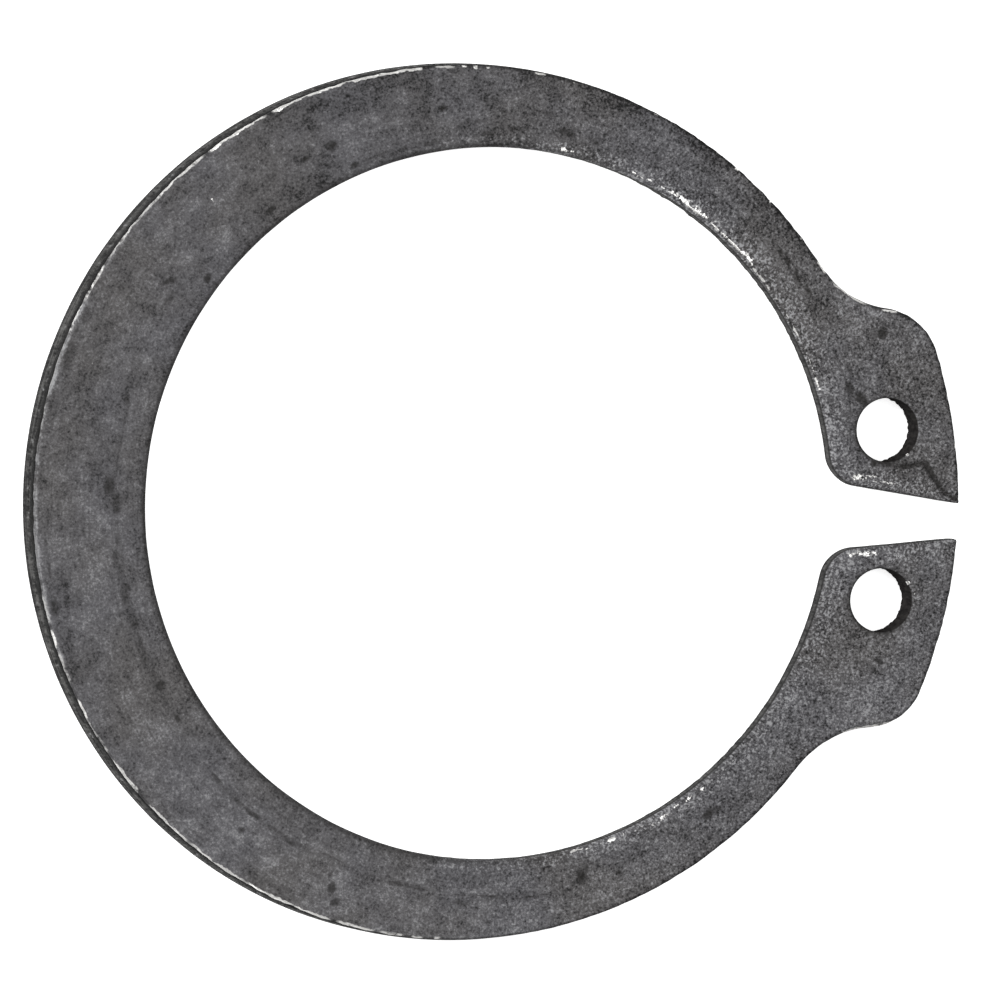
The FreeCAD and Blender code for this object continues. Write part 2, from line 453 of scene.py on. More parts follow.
class Facet:
    """The sunken web between the upper hole and the gap, and the crease that ends it."""

    def __init__(self, outline, edges):
        self.edges = edges
        self.outline = outline
        along = -outline.outwards
        crease_run = polar(1.0, angle_of(along) - edges.crease_turn)
        self.crease_side = Vector((crease_run.y, -crease_run.x))
        self.crease_foot = outline.tip + along * edges.crease_to_tip
        self.fold = [Vector(corner) * MM for corner in FOLD]

    def from_gap(self, point):
        return (point - self.outline.tip).dot(self.outline.into_lug)

    def from_crease(self, point):
        """Distance from the crease's line, above 0 on the tip's side."""
        return (point - self.crease_foot).dot(self.crease_side)

    def near(self, point):
        reach = self.edges.facet_width + FACET_MARGIN
        return point.y > 0 and point.x > BORE_R and self.from_gap(point) < reach

    def from_fold(self, point):
        """Distance to the fold's path, and how far along it the nearest place is, from 0 to 1."""
        nearest = (math.inf, 0.0)
        for number, (start, end) in enumerate(zip(self.fold, self.fold[1:])):
            run = end - start
            part = min(1.0, max(0.0, (point - start).dot(run) / run.length_squared))
            along = (number + part) / (len(self.fold) - 1)
            nearest = min(nearest, ((point - start - run * part).length, along))
        return nearest

    def depth(self, point):
        """How far the top face lies sunk at a point."""
        if not self.near(point):
            return 0.0
        edges = self.edges
        past_hinge = edges.facet_width - self.from_gap(point)
        slope = edges.facet_drop * smooth(past_hinge, -HINGE_FADE, edges.facet_width)
        behind = smooth(-self.from_crease(point), *CREASE_FADE)
        away, along = self.from_fold(point)
        valley = edges.valley_depth * (1 - smooth(away, 0.0, edges.valley_width))
        valley *= smooth(along, 0.0, FOLD_START)
        valley *= smooth(1 - along, 0.0, FOLD_END)
        return slope * behind + valley


class RetainingRing:
    """Builds the ring's mesh level by level and roughens it where it is torn."""

    def __init__(self, outline_sizes, edges, meshing):
        self.edges = edges
        self.meshing = meshing
        self.outline = Outline(outline_sizes, meshing.edge_step)
        self.facet = Facet(self.outline, edges)
        self.mesh = FineMesh()
        self.wall = []
        self.hole_walls = [[] for hole in HOLES]
        self.split = 0

    def level_loop(self, height):
        edges = self.edges
        return self.outline.loop(
            outer_inset(edges, height),
            opening_inset(edges, height, edges.bore_roll_r, edges.bore_break),
            opening_inset(edges, height, edges.bore_roll_r, edges.gap_break))

    def hole_row(self, hole, height):
        radius = HOLE_R + opening_inset(
            self.edges, height, self.edges.hole_roll_r, self.edges.hole_break)
        centre = Vector(hole["pos_m"][:2])
        count = self.outline.count("hole", 2 * math.tau * HOLE_R)
        return arc(centre, radius, 0.0, math.tau, count)

    def build(self):
        """Adds the walls row by row, then both faces."""
        heights = levels(self.edges)
        for height in heights:
            loop, self.split = self.level_loop(height)
            self.wall.append(self.mesh.add_row(loop, Z_BOTTOM + height))
            for rows, hole in zip(self.hole_walls, HOLES):
                rows.append(self.mesh.add_row(self.hole_row(hole, height), Z_BOTTOM + height))
        self.mesh.add_wall(self.wall, True)
        for rows in self.hole_walls:
            self.mesh.add_wall(rows, False)
        for level, up in ((0, False), (-1, True)):
            rim = self.wall[level]
            holes = [rows[level] for rows in self.hole_walls]
            inner = self.face_points(rim, holes, up)
            self.mesh.add_face(rim, holes, inner, Z_BOTTOM + heights[level], up)

    def walls(self):
        """Each row of the walls' points, and the wall that each of its points is on."""
        for row in self.wall:
            yield row, [OUTER] * self.split + [OPENING] * (len(row) - self.split)
        for row in sum(self.hole_walls, []):
            yield row, [HOLE] * len(row)

    def face_points(self, outline, holes, up):
        """Points inside a flat face, closer together round the facet of the top one."""
        rims = [Rim([self.mesh.points[i].xy for i in rim]) for rim in [outline] + holes]
        step = self.meshing.top_step if up else self.meshing.bottom_step
        fine = self.meshing.facet_step
        whole = (*CAD_BOX[0][:2], *CAD_BOX[1][:2])
        upper_lug = (BORE_R, 0.0, LUG_R, 4 * MM)

        def clear(point, spacing):
            """Whether a point is half a spacing or more inside every rim."""
            least = math.hypot(self.meshing.edge_step / 2, spacing / 2)
            return all(rim.depth_inside(point) > least for rim in rims)

        def keep_coarse(point):
            return not (up and self.facet.near(point)) and clear(point, step)

        def keep_fine(point):
            return self.facet.near(point) and clear(point, fine)

        points = grid_points(step, whole, keep_coarse)
        return points + grid_points(fine, upper_lug, keep_fine) if up else points


class Rim:
    """A closed row of points with the sheet on its left, or inside out for a hole's."""

    def __init__(self, points):
        self.points = points
        self.tree = kdtree.KDTree(len(points))
        for index, point in enumerate(points):
            self.tree.insert((point.x, point.y, 0.0), index)
        self.tree.balance()
        middle = sum(points, Vector((0.0, 0.0))) / len(points)
        longest = max((point - middle).length for point in points)
        self.side = -1 if longest < 2 * HOLE_R else 1

    def outwards(self, index):
        along = self.points[(index + 1) % len(self.points)] - self.points[index - 1]
        return Vector((along.y, -along.x)).normalized() * self.side

    def distance(self, point):
        return self.tree.find((point.x, point.y, 0.0))[2]

    def depth_inside(self, point):
        """Distance to the rim, below 0 off the sheet."""
        index, away = self.tree.find((point.x, point.y, 0.0))[1:]
        return -away if (point - self.points[index]).dot(self.outwards(index)) > 0 else away


# A profile is two lists: places, and the values there. This one is how rough each wall's break
# is, and on the outer wall its nicks too, by the turn in degrees
ROUGH = {
    OUTER: ([-120, -95, -30, -15, 20, 40, 180], [1.0, 0.3, 0.3, 0.7, 0.7, 1.0, 1.0]),
    OPENING: (
        [-40, -16, -8, 14, 24, 44, 60, 78, 100], [0.9, 0.5, 0.2, 0.2, 0.8, 2.2, 2.2, 1.2, 0.9]),
    HOLE: ([0], [1.3])}

# Torn grain: its spacing in a hole, as a share of that elsewhere, and how far on both sides of a
# land's end it sets in. Nicks by the burr: the depths where they end and where they are deepest
HOLE_TEAR_SIZE = 0.36
TEAR_FADE = 0.1 * MM
NICK_FOOT, NICK_FULL = 0.16 * MM, 0.03 * MM

# Size of the bumps and seed of the noise, for each kind of unevenness
TEAR_SEED = 1
WAVES = (1.3 * MM, 2)
NICKS = (0.8 * MM, 3)
CHIPS = (0.3 * MM, 4)
FACE_WAVES = (3.0 * MM, 5)
FOLD_EDGES = (0.25 * MM, 6)
SEED_STEPS = (17.3, 5.1, 9.7)     # how far one seed's noise is read from the next one's

# The noise above which a nick is cut, the mean depth of the chips, as a share of the nick depth,
# and how far the outer wall is set back, in heights of its waves and of its torn grain
NICKED_ABOVE, CHIP_SHARE = 0.1, 0.3
SET_BACK_WAVES, SET_BACK_TORN = 1.5, 0.6

# Height of the faces' waves, and how far their middle lies inside the sheet, in those heights
FACE_WAVE_HEIGHT = 0.003 * MM
FACE_SET_BACK = 1.4


def uneven(point, size, seed):
    """Smooth noise of about -1 to 1 with bumps of a given size, and half as high ones on them."""
    place = point / size + Vector([seed * step for step in SEED_STEPS])
    return noise.noise(place) + 0.5 * noise.noise(place * 2)


def wall_push(edges, point, side):
    """How far a wall's point moves off the sheet: torn grain, slow waves and the burr's nicks.
    The outer wall is set back as well, so that its bumps stay inside the solid's box."""
    rough = float(np.interp(math.degrees(angle_of(point.xy)), *ROUGH[side]))
    through = point.z - Z_BOTTOM if side == OUTER else Z_TOP - point.z
    land = edges.land_share * THICKNESS
    torn = edges.tear_roughness * smooth(through, land - TEAR_FADE, land + TEAR_FADE)
    tear_size = edges.tear_size * (HOLE_TEAR_SIZE if side == HOLE else 1.0)
    push = rough * torn * uneven(point, tear_size, TEAR_SEED)
    push += edges.waviness * uneven(point, *WAVES)
    if side == OUTER:
        nicked = rough * smooth(point.z, Z_TOP - NICK_FOOT, Z_TOP - NICK_FULL)
        nick = max(0.0, uneven(point, *NICKS) - NICKED_ABOVE)
        nick += CHIP_SHARE * (1 + uneven(point, *CHIPS))
        push -= nicked * edges.nick_depth * nick
        push -= SET_BACK_WAVES * edges.waviness + SET_BACK_TORN * torn
    return push


def settled(facet, point):
    """A point's height, sunk with the facet and by its face's waves, inside the sheet."""
    above = (point.z - Z_BOTTOM) / THICKNESS
    wave = FACE_WAVE_HEIGHT * (FACE_SET_BACK + uneven(point, *FACE_WAVES)) * (2 * above - 1)
    height = point.z - (facet.depth(point.xy) * above ** 3 + wave)
    return min(Z_TOP, max(Z_BOTTOM, height))


def roughened(ring):
    """The ring's points, moved where its walls are torn and nicked and its faces are uneven."""
    points = ring.mesh.points
    moved = [point.copy() for point in points]
    for row, sides in ring.walls():
        for place, (index, side) in enumerate(zip(row, sides)):
            along = points[row[(place + 1) % len(row)]] - points[row[place - 1]]
            off_sheet = Vector((along.y, -along.x, 0.0)).normalized() * (-1 if side == HOLE else 1)
            moved[index] += off_sheet * wall_push(ring.edges, points[index], side)
    for point in moved:
        point.z = settled(ring.facet, point)
    return moved


# How far the marks are turned on the bottom face, in degrees, and the height in millimetres
# below which they are
BOTTOM_TURN = 127.0
BOTTOM_BELOW = -0.3


class Marks:
    """How strongly marks show at each of the sheet's points. The bottom face has the same marks as
    the top one, turned about a third of the way round."""

    def __init__(self, points):
        x, y, z = np.array([tuple(point) for point in points]).T / MM
        turned = np.where(z < BOTTOM_BELOW, math.radians(BOTTOM_TURN), 0.0)
        self.x = x * np.cos(turned) - y * np.sin(turned)
        self.y = x * np.sin(turned) + y * np.cos(turned)
        self.turn = np.degrees(np.arctan2(self.y, self.x))
        self.radius = np.hypot(self.x, self.y)

    def spots(self, spots):
        """Ellipses, full up to half of their size and gone at one and a half times it: turn of the
        middle in degrees, radius, half length and half width in millimetres, how far it leans
        from the ring's own direction in degrees, and strength."""
        found = np.zeros(len(self.x))
        for turn, radius, half_length, half_width, lean, strength in spots:
            middle = polar(radius, math.radians(turn))
            along = polar(1.0, math.radians(turn + 90 + lean))
            dx, dy = self.x - middle.x, self.y - middle.y
            u = (dx * along.x + dy * along.y) / half_length
            v = (dy * along.x - dx * along.y) / half_width
            found = np.maximum(found, strength * np.clip(1.5 - np.hypot(u, v), 0.0, 1.0))
        return found

    def streaks(self, streaks):
        """Arcs round the ring that fade over the last two fifths towards each end: first and last
        turn in degrees, radius and half width in millimetres, and strength."""
        found = np.zeros(len(self.x))
        for first, last, radius, half_width, strength in streaks:
            half = (last - first) / 2
            ends = np.clip(2.5 - 2.5 * np.abs(self.turn - first - half) / half, 0.0, 1.0)
            across = np.clip(1.5 - np.abs(self.radius - radius) / half_width, 0.0, 1.0)
            found = np.maximum(found, strength * ends * across)
        return found

    def stretches(self, stretches):
        """Stretches of a rim, soft at their ends: middle and half length in degrees, and
        strength."""
        found = np.zeros(len(self.x))
        for middle, half_length, strength in stretches:
            away = np.abs((self.turn - middle + 180) % 360 - 180) / half_length
            found = np.maximum(found, strength * np.clip(2 * (1.2 - away), 0.0, 1.0))
        return found


# Marks listed one by one, in the forms that Marks takes. Spots: dark smudges of dried oil, places
# where the coat is duller or paler, bright worn spots and dimples. Streaks: faint drawn lines of
# oil. Stretches: where the outer rim is worn bright, and where the coat beside it is pale.
# The smudge at 7.9° is oil and painted shade where the facet's fold starts.
SMUDGES = [
    (25.1, 16, 0.2, 0.2, 0, 0.95), (-73.5, 14, 0.22, 0.26, 0, 1), (-51.5, 14, 0.32, 0.15, 5, 1),
    (-67.8, 14.3, 0.13, 0.11, 0, 0.9), (-72.5, 13.75, 0.12, 0.14, 0, 0.8),
    (-50, 14.1, 0.16, 0.07, -30, 0.8), (-109.6, 15.55, 0.2, 0.17, 30, 0.8),
    (-110.8, 15.15, 0.15, 0.26, 10, 0.8), (-111.8, 14.7, 0.1, 0.2, 0, 0.5),
    (100, 14.5, 0.2, 0.11, 0, 0.85), (117.5, 14.38, 0.23, 0.19, 0, 0.95),
    (122, 14.4, 0.27, 0.11, 0, 0.75), (130.5, 13.55, 0.2, 0.13, 0, 0.75),
    (115.3, 13.35, 0.22, 0.12, 0, 0.8), (108, 13.3, 0.4, 0.1, 0, 0.6),
    (144.8, 13.5, 0.18, 0.13, 20, 0.85), (148.6, 14.6, 0.34, 0.11, -35, 0.75),
    (150.5, 14.2, 0.25, 0.12, 0, 0.6), (166.7, 14.22, 0.19, 0.13, 0, 0.9),
    (179.5, 14.35, 0.4, 0.24, 0, 0.62), (-178, 14.1, 0.45, 0.24, 0, 0.58),
    (-170, 14.15, 0.45, 0.2, 0, 0.5), (-165, 16.75, 0.3, 0.16, 0, 0.7),
    (-165.5, 14, 0.2, 0.15, 0, 0.6), (-160, 14, 0.22, 0.2, 0, 0.6),
    (-149.8, 14, 0.22, 0.18, 0, 0.85), (-144.5, 14.05, 0.24, 0.1, 0, 0.85),
    (-137, 13.5, 0.2, 0.14, 0, 0.6), (-154, 14.2, 0.2, 0.1, 0, 0.6),
    (-126, 15, 0.14, 0.12, 0, 0.75), (-119.5, 14.35, 0.35, 0.1, 0, 0.6),
    (-131.5, 14.3, 0.45, 0.09, 0, 0.55), (-92, 14.5, 0.35, 0.16, 0, 0.5),
    (-32, 14.35, 0.5, 0.05, -8, 0.5), (17.5, 14.45, 0.34, 0.18, 25, 0.9),
    (19.2, 14.15, 0.45, 0.13, 10, 0.75), (22, 14.35, 0.45, 0.07, 10, 0.6),
    (-19.3, 15.8, 0.07, 0.26, 0, 0.85), (81, 13.75, 0.38, 0.12, -10, 0.75),
    (76.5, 13.7, 0.35, 0.1, -15, 0.5), (84, 14.3, 0.35, 0.1, -10, 0.5),
    (89, 13.65, 0.3, 0.12, 0, 0.6), (93, 13.45, 0.4, 0.12, 0, 0.6), (103, 13.35, 0.5, 0.12, 0, 0.5),
    (95.5, 13.9, 0.45, 0.1, 0, 0.5), (64, 14.3, 0.3, 0.15, 0, 0.4),
    (163.5, 16.75, 0.7, 0.2, 0, 0.5), (158, 16.7, 0.4, 0.18, 0, 0.45),
    (169.5, 16.9, 0.5, 0.15, 0, 0.4), (7.9, 14.5, 0.12, 0.11, 0, 1.1),
    (16.5, 14, 1.2, 0.25, 0, 0.3), (12.2, 13.75, 0.9, 0.1, 0, 0.45)]
STREAKS = [
    (-92, -72, 14.38, 0.05, 0.85), (-96, -80, 14.22, 0.05, 0.7), (-118, -94, 14.18, 0.13, 0.42),
    (-140, -112, 14.3, 0.12, 0.5), (-180, -140, 14.1, 0.17, 0.55), (163, 180, 14.15, 0.12, 0.45),
    (-64, -36, 14.16, 0.04, 0.8), (33, 46, 14.12, 0.042, 1), (30, 41, 14, 0.04, 0.6),
    (28, 54, 14.25, 0.05, 0.55), (52, 62, 14.4, 0.06, 0.4), (-45, -30, 14.05, 0.04, 0.5),
    (128, 146, 13.4, 0.1, 0.4), (98, 118, 13.35, 0.12, 0.45), (-180, -160, 16.72, 0.07, 0.4),
    (-30, -13, 13.35, 0.05, 0.4), (-84, -60, 13.6, 0.05, 0.45), (-130, -108, 13.75, 0.08, 0.4),
    (-160, -130, 14.45, 0.06, 0.4), (146, 166, 14.3, 0.09, 0.3)]
DULL = [
    (46, 14.95, 2.2, 0.4, 0, 2.1), (61, 15.25, 2.6, 0.45, 0, 2.3), (71, 15.2, 1.6, 0.6, 0, 2.4),
    (60, 13.6, 2, 0.35, 0, 1.35), (112.5, 15.9, 3.4, 0.72, 0, 2.2), (101, 15.9, 1.4, 0.4, 0, 1.7),
    (20, 16.2, 1.4, 0.8, 0, 0.35), (121, 13.7, 2, 0.45, 0, 1), (122, 16, 2, 0.6, 0, 1.1),
    (-90, 13.6, 1.2, 0.3, 0, 1.7), (62, 13.45, 1.2, 0.25, 0, 1.2), (-50, 14, 1.2, 1, 0, 0.9),
    (-162, 16.1, 1.2, 0.4, 0, 1.1), (-166.5, 16.35, 1, 0.35, 0, 1.5),
    (-158.5, 16.6, 1.7, 0.3, 0, 1.4), (179, 14.2, 0.9, 0.6, 0, 0.9), (172, 15, 2.2, 1.3, 0, 0.5),
    (116, 16, 2.2, 0.5, 0, 0.7), (56, 14.8, 2, 0.45, 0, 0.7), (62, 13.55, 1.4, 0.35, 0, 0.9),
    (-34, 13.45, 1, 0.25, 0, 0.8), (-82, 14.3, 1, 0.5, 0, 0.7), (-137, 14.3, 0.9, 0.8, 0, 0.7),
    (126, 14.8, 1.2, 0.5, 0, 0.7), (105, 15.75, 2.4, 0.6, 0, 1.1), (90, 15.5, 2.4, 0.5, 0, 1.1),
    (75, 15.3, 2.2, 0.45, 0, 0.9), (95, 14.5, 4, 1.4, 0, 0.8), (75, 14.3, 3, 0.9, 0, 0.85),
    (120, 16.2, 1.8, 0.4, 0, 0.6), (57, 15, 2.6, 0.35, 0, 0.5), (84, 13.8, 1.6, 0.35, 0, 0.5),
    (100, 13.6, 2, 0.35, 0, 0.5), (-140, 14.2, 2.5, 0.4, 0, 0.4), (-160, 14.1, 2.5, 0.35, 0, 0.6),
    (38, 14.6, 1.5, 0.4, 0, 0.4), (12, 13.9, 1.2, 0.35, 0, 0.5), (30, 14.2, 1.6, 0.5, 0, 0.3),
    (178, 14, 1.2, 0.7, 0, 0.4), (150, 13.7, 2.2, 0.5, 0, 0.35), (16, 17, 1, 0.5, 0, 0.3),
    (-12, 17, 1.2, 0.4, 0, 0.3), (-75, 14.2, 1.6, 0.4, 0, 0.3)]
# The pale marks at turns of 4° to 9°, beside the facet's fold and crease, are painted highlight on
# the ridge and slope there.
PALE = [
    (-146, 14.7, 1.4, 1.2, 0, 0.9), (-172, 15, 2.2, 0.7, 0, 0.9), (-114, 15.2, 1.6, 0.9, 0, 0.9),
    (-71, 14.6, 1.6, 0.7, 0, 1), (-42, 14.1, 1, 0.3, 0, 1.1), (-98, 15, 1.2, 0.5, 0, 0.6),
    (-24, 15.3, 1.4, 1, 0, 0.75), (35, 13.5, 2.4, 0.3, 0, 1.3), (30, 15, 1, 0.4, 0, 1),
    (78, 14.4, 0.8, 0.4, 0, 0.9), (8.6, 15.85, 0.42, 0.06, -90, 2.2),
    (7.3, 16.3, 0.3, 0.05, -70, 1.8), (-125, 15, 3, 1, 0, 0.3), (6.1, 17, 0.6, 0.12, 34, 0.9),
    (4, 16.85, 0.6, 0.16, 34, 0.7), (9, 16.6, 0.25, 0.5, 20, 0.5), (136, 15.2, 1.3, 0.6, 20, 0.55),
    (137.5, 14.4, 0.7, 0.4, 0, 0.5), (-20.5, 15, 0.4, 0.9, 0, 0.5),
    (-17.5, 15.6, 0.25, 0.5, 20, 0.5), (13, 14.9, 0.5, 0.4, 0, 0.2), (155, 15.7, 0.5, 0.9, 0, 0.45),
    (-150, 16, 1.5, 0.3, 0, 0.35), (-131, 16.2, 1.3, 0.25, 35, 0.4),
    (-115, 15.5, 0.6, 0.4, 0, 0.35), (-160, 15, 1.2, 0.5, 0, 0.35),
    (-165, 14.5, 0.7, 0.15, 0, 0.35), (109, 14.6, 0.5, 0.4, 0, 0.4), (66, 14.7, 0.9, 0.25, 0, 0.3),
    (-80, 15.2, 1.2, 0.3, 0, 0.3), (22, 15, 0.6, 0.4, 30, 0.35), (20, 16.4, 0.5, 0.4, 0, 0.45),
    (7.5, 16.6, 0.3, 0.5, 0, 0.3), (-14.5, 16.4, 0.35, 0.2, 45, 0.5),
    (166, 15.4, 0.28, 0.05, -10, 1), (-32.3, 14.5, 0.04, 0.22, 10, 1.3),
    (164.5, 13.75, 0.06, 0.22, 0, 0.9), (176, 16.4, 0.7, 0.35, 0, 0.35),
    (-172, 15.4, 0.8, 0.4, 0, 0.3)]
OUTER_WEAR = [
    (145, 7, 0.63), (137, 5, 0.71), (127, 4, 0.84), (131.3, 0.8, 1.2), (117.5, 6, 0.82),
    (108, 5, 0.78), (128.4, 0.5, 1), (125.4, 0.7, 1.05), (121.8, 0.6, 1.1), (115.5, 0.8, 1.05),
    (111, 0.5, 1), (103, 1, 1.1), (99, 1.6, 0.66), (96.4, 0.5, 0.85), (94.9, 0.35, 0.9),
    (93.2, 0.4, 0.78), (154, 3, 0.7), (159, 2.5, 0.62), (168, 8, 0.5), (178, 8, 0.46),
    (-171, 9, 0.45), (-161.3, 1.3, 0.82), (-165, 2.2, 0.57), (-157.5, 2.5, 0.63), (-152, 1.5, 0.85),
    (-148, 3, 0.6), (-142, 3, 0.8), (-134, 4, 0.74), (-126, 5, 0.78), (-118, 4, 0.84),
    (-112, 3, 0.82), (-106, 3, 0.8), (-101, 2, 0.72), (-97.5, 1, 0.7), (-94.8, 0.6, 0.7),
    (-90, 8, 0.3), (86, 0.9, 0.8), (81, 0.5, 0.6), (69, 0.6, 0.6), (55.3, 0.35, 0.9),
    (48.8, 0.3, 0.9), (42, 0.4, 0.7), (37, 1.2, 0.8), (32, 3, 0.72), (27.4, 0.7, 0.8),
    (-28, 3, 0.65), (-33, 1.2, 0.5), (-60, 12, 0.3), (15, 0.6, 0.6), (9, 0.4, 0.7), (-8, 3, 0.42),
    (-15, 3, 0.48), (-21, 3, 0.45)]
RIM_PALE = [
    (151, 4, 0.35), (161, 5, 0.55), (166, 2.5, 0.75), (173, 3, 0.35), (179, 3, 0.6), (-174, 4, 0.6),
    (-168, 4.5, 0.6), (-160, 2, 0.4), (-98, 8, 0.25)]
BORE_WEAR = [
    (80.7, 13.11, 0.17, 0.06, 0, 1.35), (81.4, 13.16, 0.04, 0.06, 0, 1.2),
    (79.3, 13.14, 0.05, 0.05, 40, 1), (75.5, 13.16, 0.08, 0.025, -60, 1.1),
    (77.8, 13.1, 0.3, 0.03, 0, 0.6), (72.5, 13.08, 0.5, 0.03, 0, 0.55),
    (68.6, 13.13, 0.16, 0.035, -12, 1.1), (67.6, 13.08, 0.16, 0.035, 8, 1.2),
    (65.7, 13.13, 0.15, 0.025, 0, 0.9), (63.5, 13.14, 0.3, 0.03, 0, 0.75),
    (61, 13.14, 0.32, 0.035, 5, 1.1), (59, 13.11, 0.28, 0.045, -5, 1.2),
    (56.8, 13.09, 0.45, 0.042, 4, 1.25), (56, 13.03, 0.25, 0.03, 0, 1),
    (54.9, 13.12, 0.12, 0.04, 0, 1.1), (52.7, 13.08, 0.24, 0.04, -6, 1.3),
    (51.8, 13.06, 0.1, 0.05, 30, 1.1), (50.4, 13.03, 0.35, 0.025, 0, 1.1),
    (48.4, 13.07, 0.62, 0.038, 0, 1.6), (46.4, 13.13, 0.1, 0.07, 30, 1.25),
    (45.2, 13.14, 0.24, 0.05, -8, 1.25), (44, 13.07, 0.16, 0.04, -20, 1.1),
    (42.9, 13.02, 0.22, 0.035, 0, 1.15), (41.3, 13.02, 0.25, 0.035, 0, 1.2),
    (39.2, 13.02, 0.2, 0.03, 0, 1.1), (37, 13.05, 0.1, 0.03, 0, 0.95),
    (34, 13.05, 0.5, 0.02, 0, 0.75), (31, 13.03, 0.24, 0.03, 0, 1.05),
    (25, 13.03, 1.1, 0.025, 0, 0.75), (22, 13.02, 0.4, 0.03, 0, 0.9),
    (58, 13.25, 0.9, 0.08, 0, 0.55), (51, 13.22, 0.9, 0.09, 0, 0.5), (41, 13.22, 1.2, 0.1, 0, 0.5),
    (46, 13.28, 0.4, 0.08, 0, 0.6), (27, 13.2, 1.2, 0.08, 0, 0.42),
    (-49.5, 13.21, 0.06, 0.05, 60, 1.1), (-50.3, 13.13, 0.12, 0.04, -20, 1.1),
    (-52.9, 13.11, 0.2, 0.04, 0, 1), (-55.2, 13.08, 0.14, 0.04, 0, 1),
    (-58.3, 13.18, 0.25, 0.08, 20, 0.75), (-60.1, 13.24, 0.1, 0.03, 0, 0.9),
    (-56.5, 13.2, 0.9, 0.07, 0, 0.6), (-65.1, 13.06, 0.06, 0.03, 0, 1),
    (-67.2, 13.07, 0.15, 0.07, 0, 1.4), (-68.5, 13.05, 0.05, 0.03, 0, 1.1),
    (-69.4, 13.09, 0.05, 0.04, 0, 1), (-71.5, 13.07, 0.09, 0.035, -35, 1.1),
    (-72.6, 13.05, 0.12, 0.03, 0, 1.1), (-73.7, 13.03, 0.16, 0.045, 8, 1.3),
    (-62.5, 13.1, 0.5, 0.05, 0, 0.6), (-44, 13.14, 1, 0.06, 0, 0.5),
    (-33, 13.16, 0.12, 0.04, 0, 0.75), (-25.3, 13.44, 0.04, 0.05, 0, 0.9),
    (-30, 13.17, 1.6, 0.07, 0, 0.42), (6.2, 13.95, 0.11, 0.35, -5, 0.72),
    (6.1, 14.35, 0.1, 0.35, -3, 0.75), (5.9, 14.12, 0.05, 0.08, 0, 1.1),
    (-5.3, 14.25, 0.09, 0.35, 3, 0.8), (-5.6, 13.75, 0.1, 0.25, 5, 0.6),
    (4.9, 15, 0.09, 0.5, 0, 0.55), (-5, 15.1, 0.07, 0.7, 0, 0.55),
    (8.65, 15.83, 0.05, 0.05, 0, 1.5), (5.75, 13.95, 0.06, 0.3, -8, 0.8),
    (5.3, 14.62, 0.03, 0.2, -3, 0.95), (5.15, 14.9, 0.03, 0.1, 0, 1),
    (-5.15, 14.4, 0.11, 0.42, 3, 0.78), (-4.95, 14.05, 0.04, 0.12, 0, 1),
    (-5.6, 13.85, 0.1, 0.3, 8, 0.72), (-9.6, 16.35, 0.04, 0.04, 0, 0.95),
    (-12.6, 16.9, 0.03, 0.04, 0, 1), (-6.5, 16.6, 0.04, 0.03, 0, 0.9),
    (-25.5, 14.55, 0.03, 0.12, 30, 0.8), (12.8, 16.3, 0.04, 0.05, 0, 0.8),
    (-31.5, 14.55, 0.03, 0.1, 20, 0.8), (-8.3, 16.05, 0.06, 0.06, 0, 2.2),
    (136, 15.25, 0.05, 0.09, 20, 1.1), (163.5, 15.85, 0.05, 0.05, 0, 1.1)]
DIMPLES = [
    (25.1, 16, 0.24, 0.24, 0, 1), (12.3, 14, 0.1, 0.08, 0, 0.5),
    (-109.6, 15.55, 0.16, 0.14, 0, 0.4)]


# Profiles of the coat, by the turn in degrees, by the degrees from the gap either way, or by the
# millimetres from the opening's rim: where its grain is lively, how far in from the rim it is
# rubbed and given painted sheen (fully up to its FULL distance) and how much, where its rim is
# darkened as painted shade, and where it is dull
LIVELY_BY_GAP = ([30, 60, 95, 120], [1.0, 0.85, 0.45, 0.25])
LIVELY_BY_RIM = ([0.25, 0.6], [1.0, 0.0])
LIVELY_RIM_BY_GAP = ([70, 110], [0.7, 0.2])
RUB_AND_SHEEN_REACH_BY_TURN = ([-75, -30, -12, 12, 30, 50, 80], [0.3, 0.7, 0.7, 0.55, 0.8, 0.65, 0.35])
RUB_AND_SHEEN_BY_TURN = (
    [-105, -70, -30, -20, 0, 25, 45, 70, 105], [0.1, 1.0, 1.0, 1.3, 1.0, 1.5, 1.7, 1.4, 0.1])
RUB_AND_SHEEN_FULL = 0.15
SHADE_BY_RIM = ([-0.08, 0.12], [0.62, 0.0])
SHADE_BY_GAP = ([66, 95], [0.0, 1.0])
BORE_SHADE_BY_TURN = ([-60, -45, -12, -6], [0.0, 0.32, 0.38, 0.0])
DULL_BY_RIM = ([0.08, 0.85], [0.75, 0.0])
DULL_BY_GAP = ([80, 110], [0.0, 1.0])

# Painted shade round the plier holes: the turn of its darkest side, its strength on the other
# side, and the distances over which it fades. Oil and painted shade in the facet's fold, along
# it: its width in millimetres, by how much that width varies, and its strength
HOLE_SHADE_TURN = math.radians(215)
HOLE_SHADE_LEAST = 0.15
HOLE_SHADE_FADE = (0.05 * MM, 0.17 * MM)
FOLD_WIDTH = ([0, 0.3, 0.5, 0.6, 0.8, 1], [0.24, 0.17, 0.26, 0.21, 0.19, 0.17])
FOLD_RAGGED = 0.5
FOLD_OIL_AND_SHADE = ([0, 0.2, 0.35, 0.47, 0.6, 0.8, 1], [0.5, 0.9, 0.8, 1.25, 1.1, 1.05, 1.05])


def hole_painted_shade(point, hole):
    """Painted shade round a plier hole's rolled edge: most on the side towards the bore and below.
    """
    from_middle = point.xy - Vector(hole["pos_m"][:2])
    away = abs(from_middle.length - HOLE_R)
    side = 0.5 + 0.5 * math.cos(angle_of(from_middle) - HOLE_SHADE_TURN)
    strength = HOLE_SHADE_LEAST + (1 - HOLE_SHADE_LEAST) * side
    return (1 - smooth(away, *HOLE_SHADE_FADE)) * strength


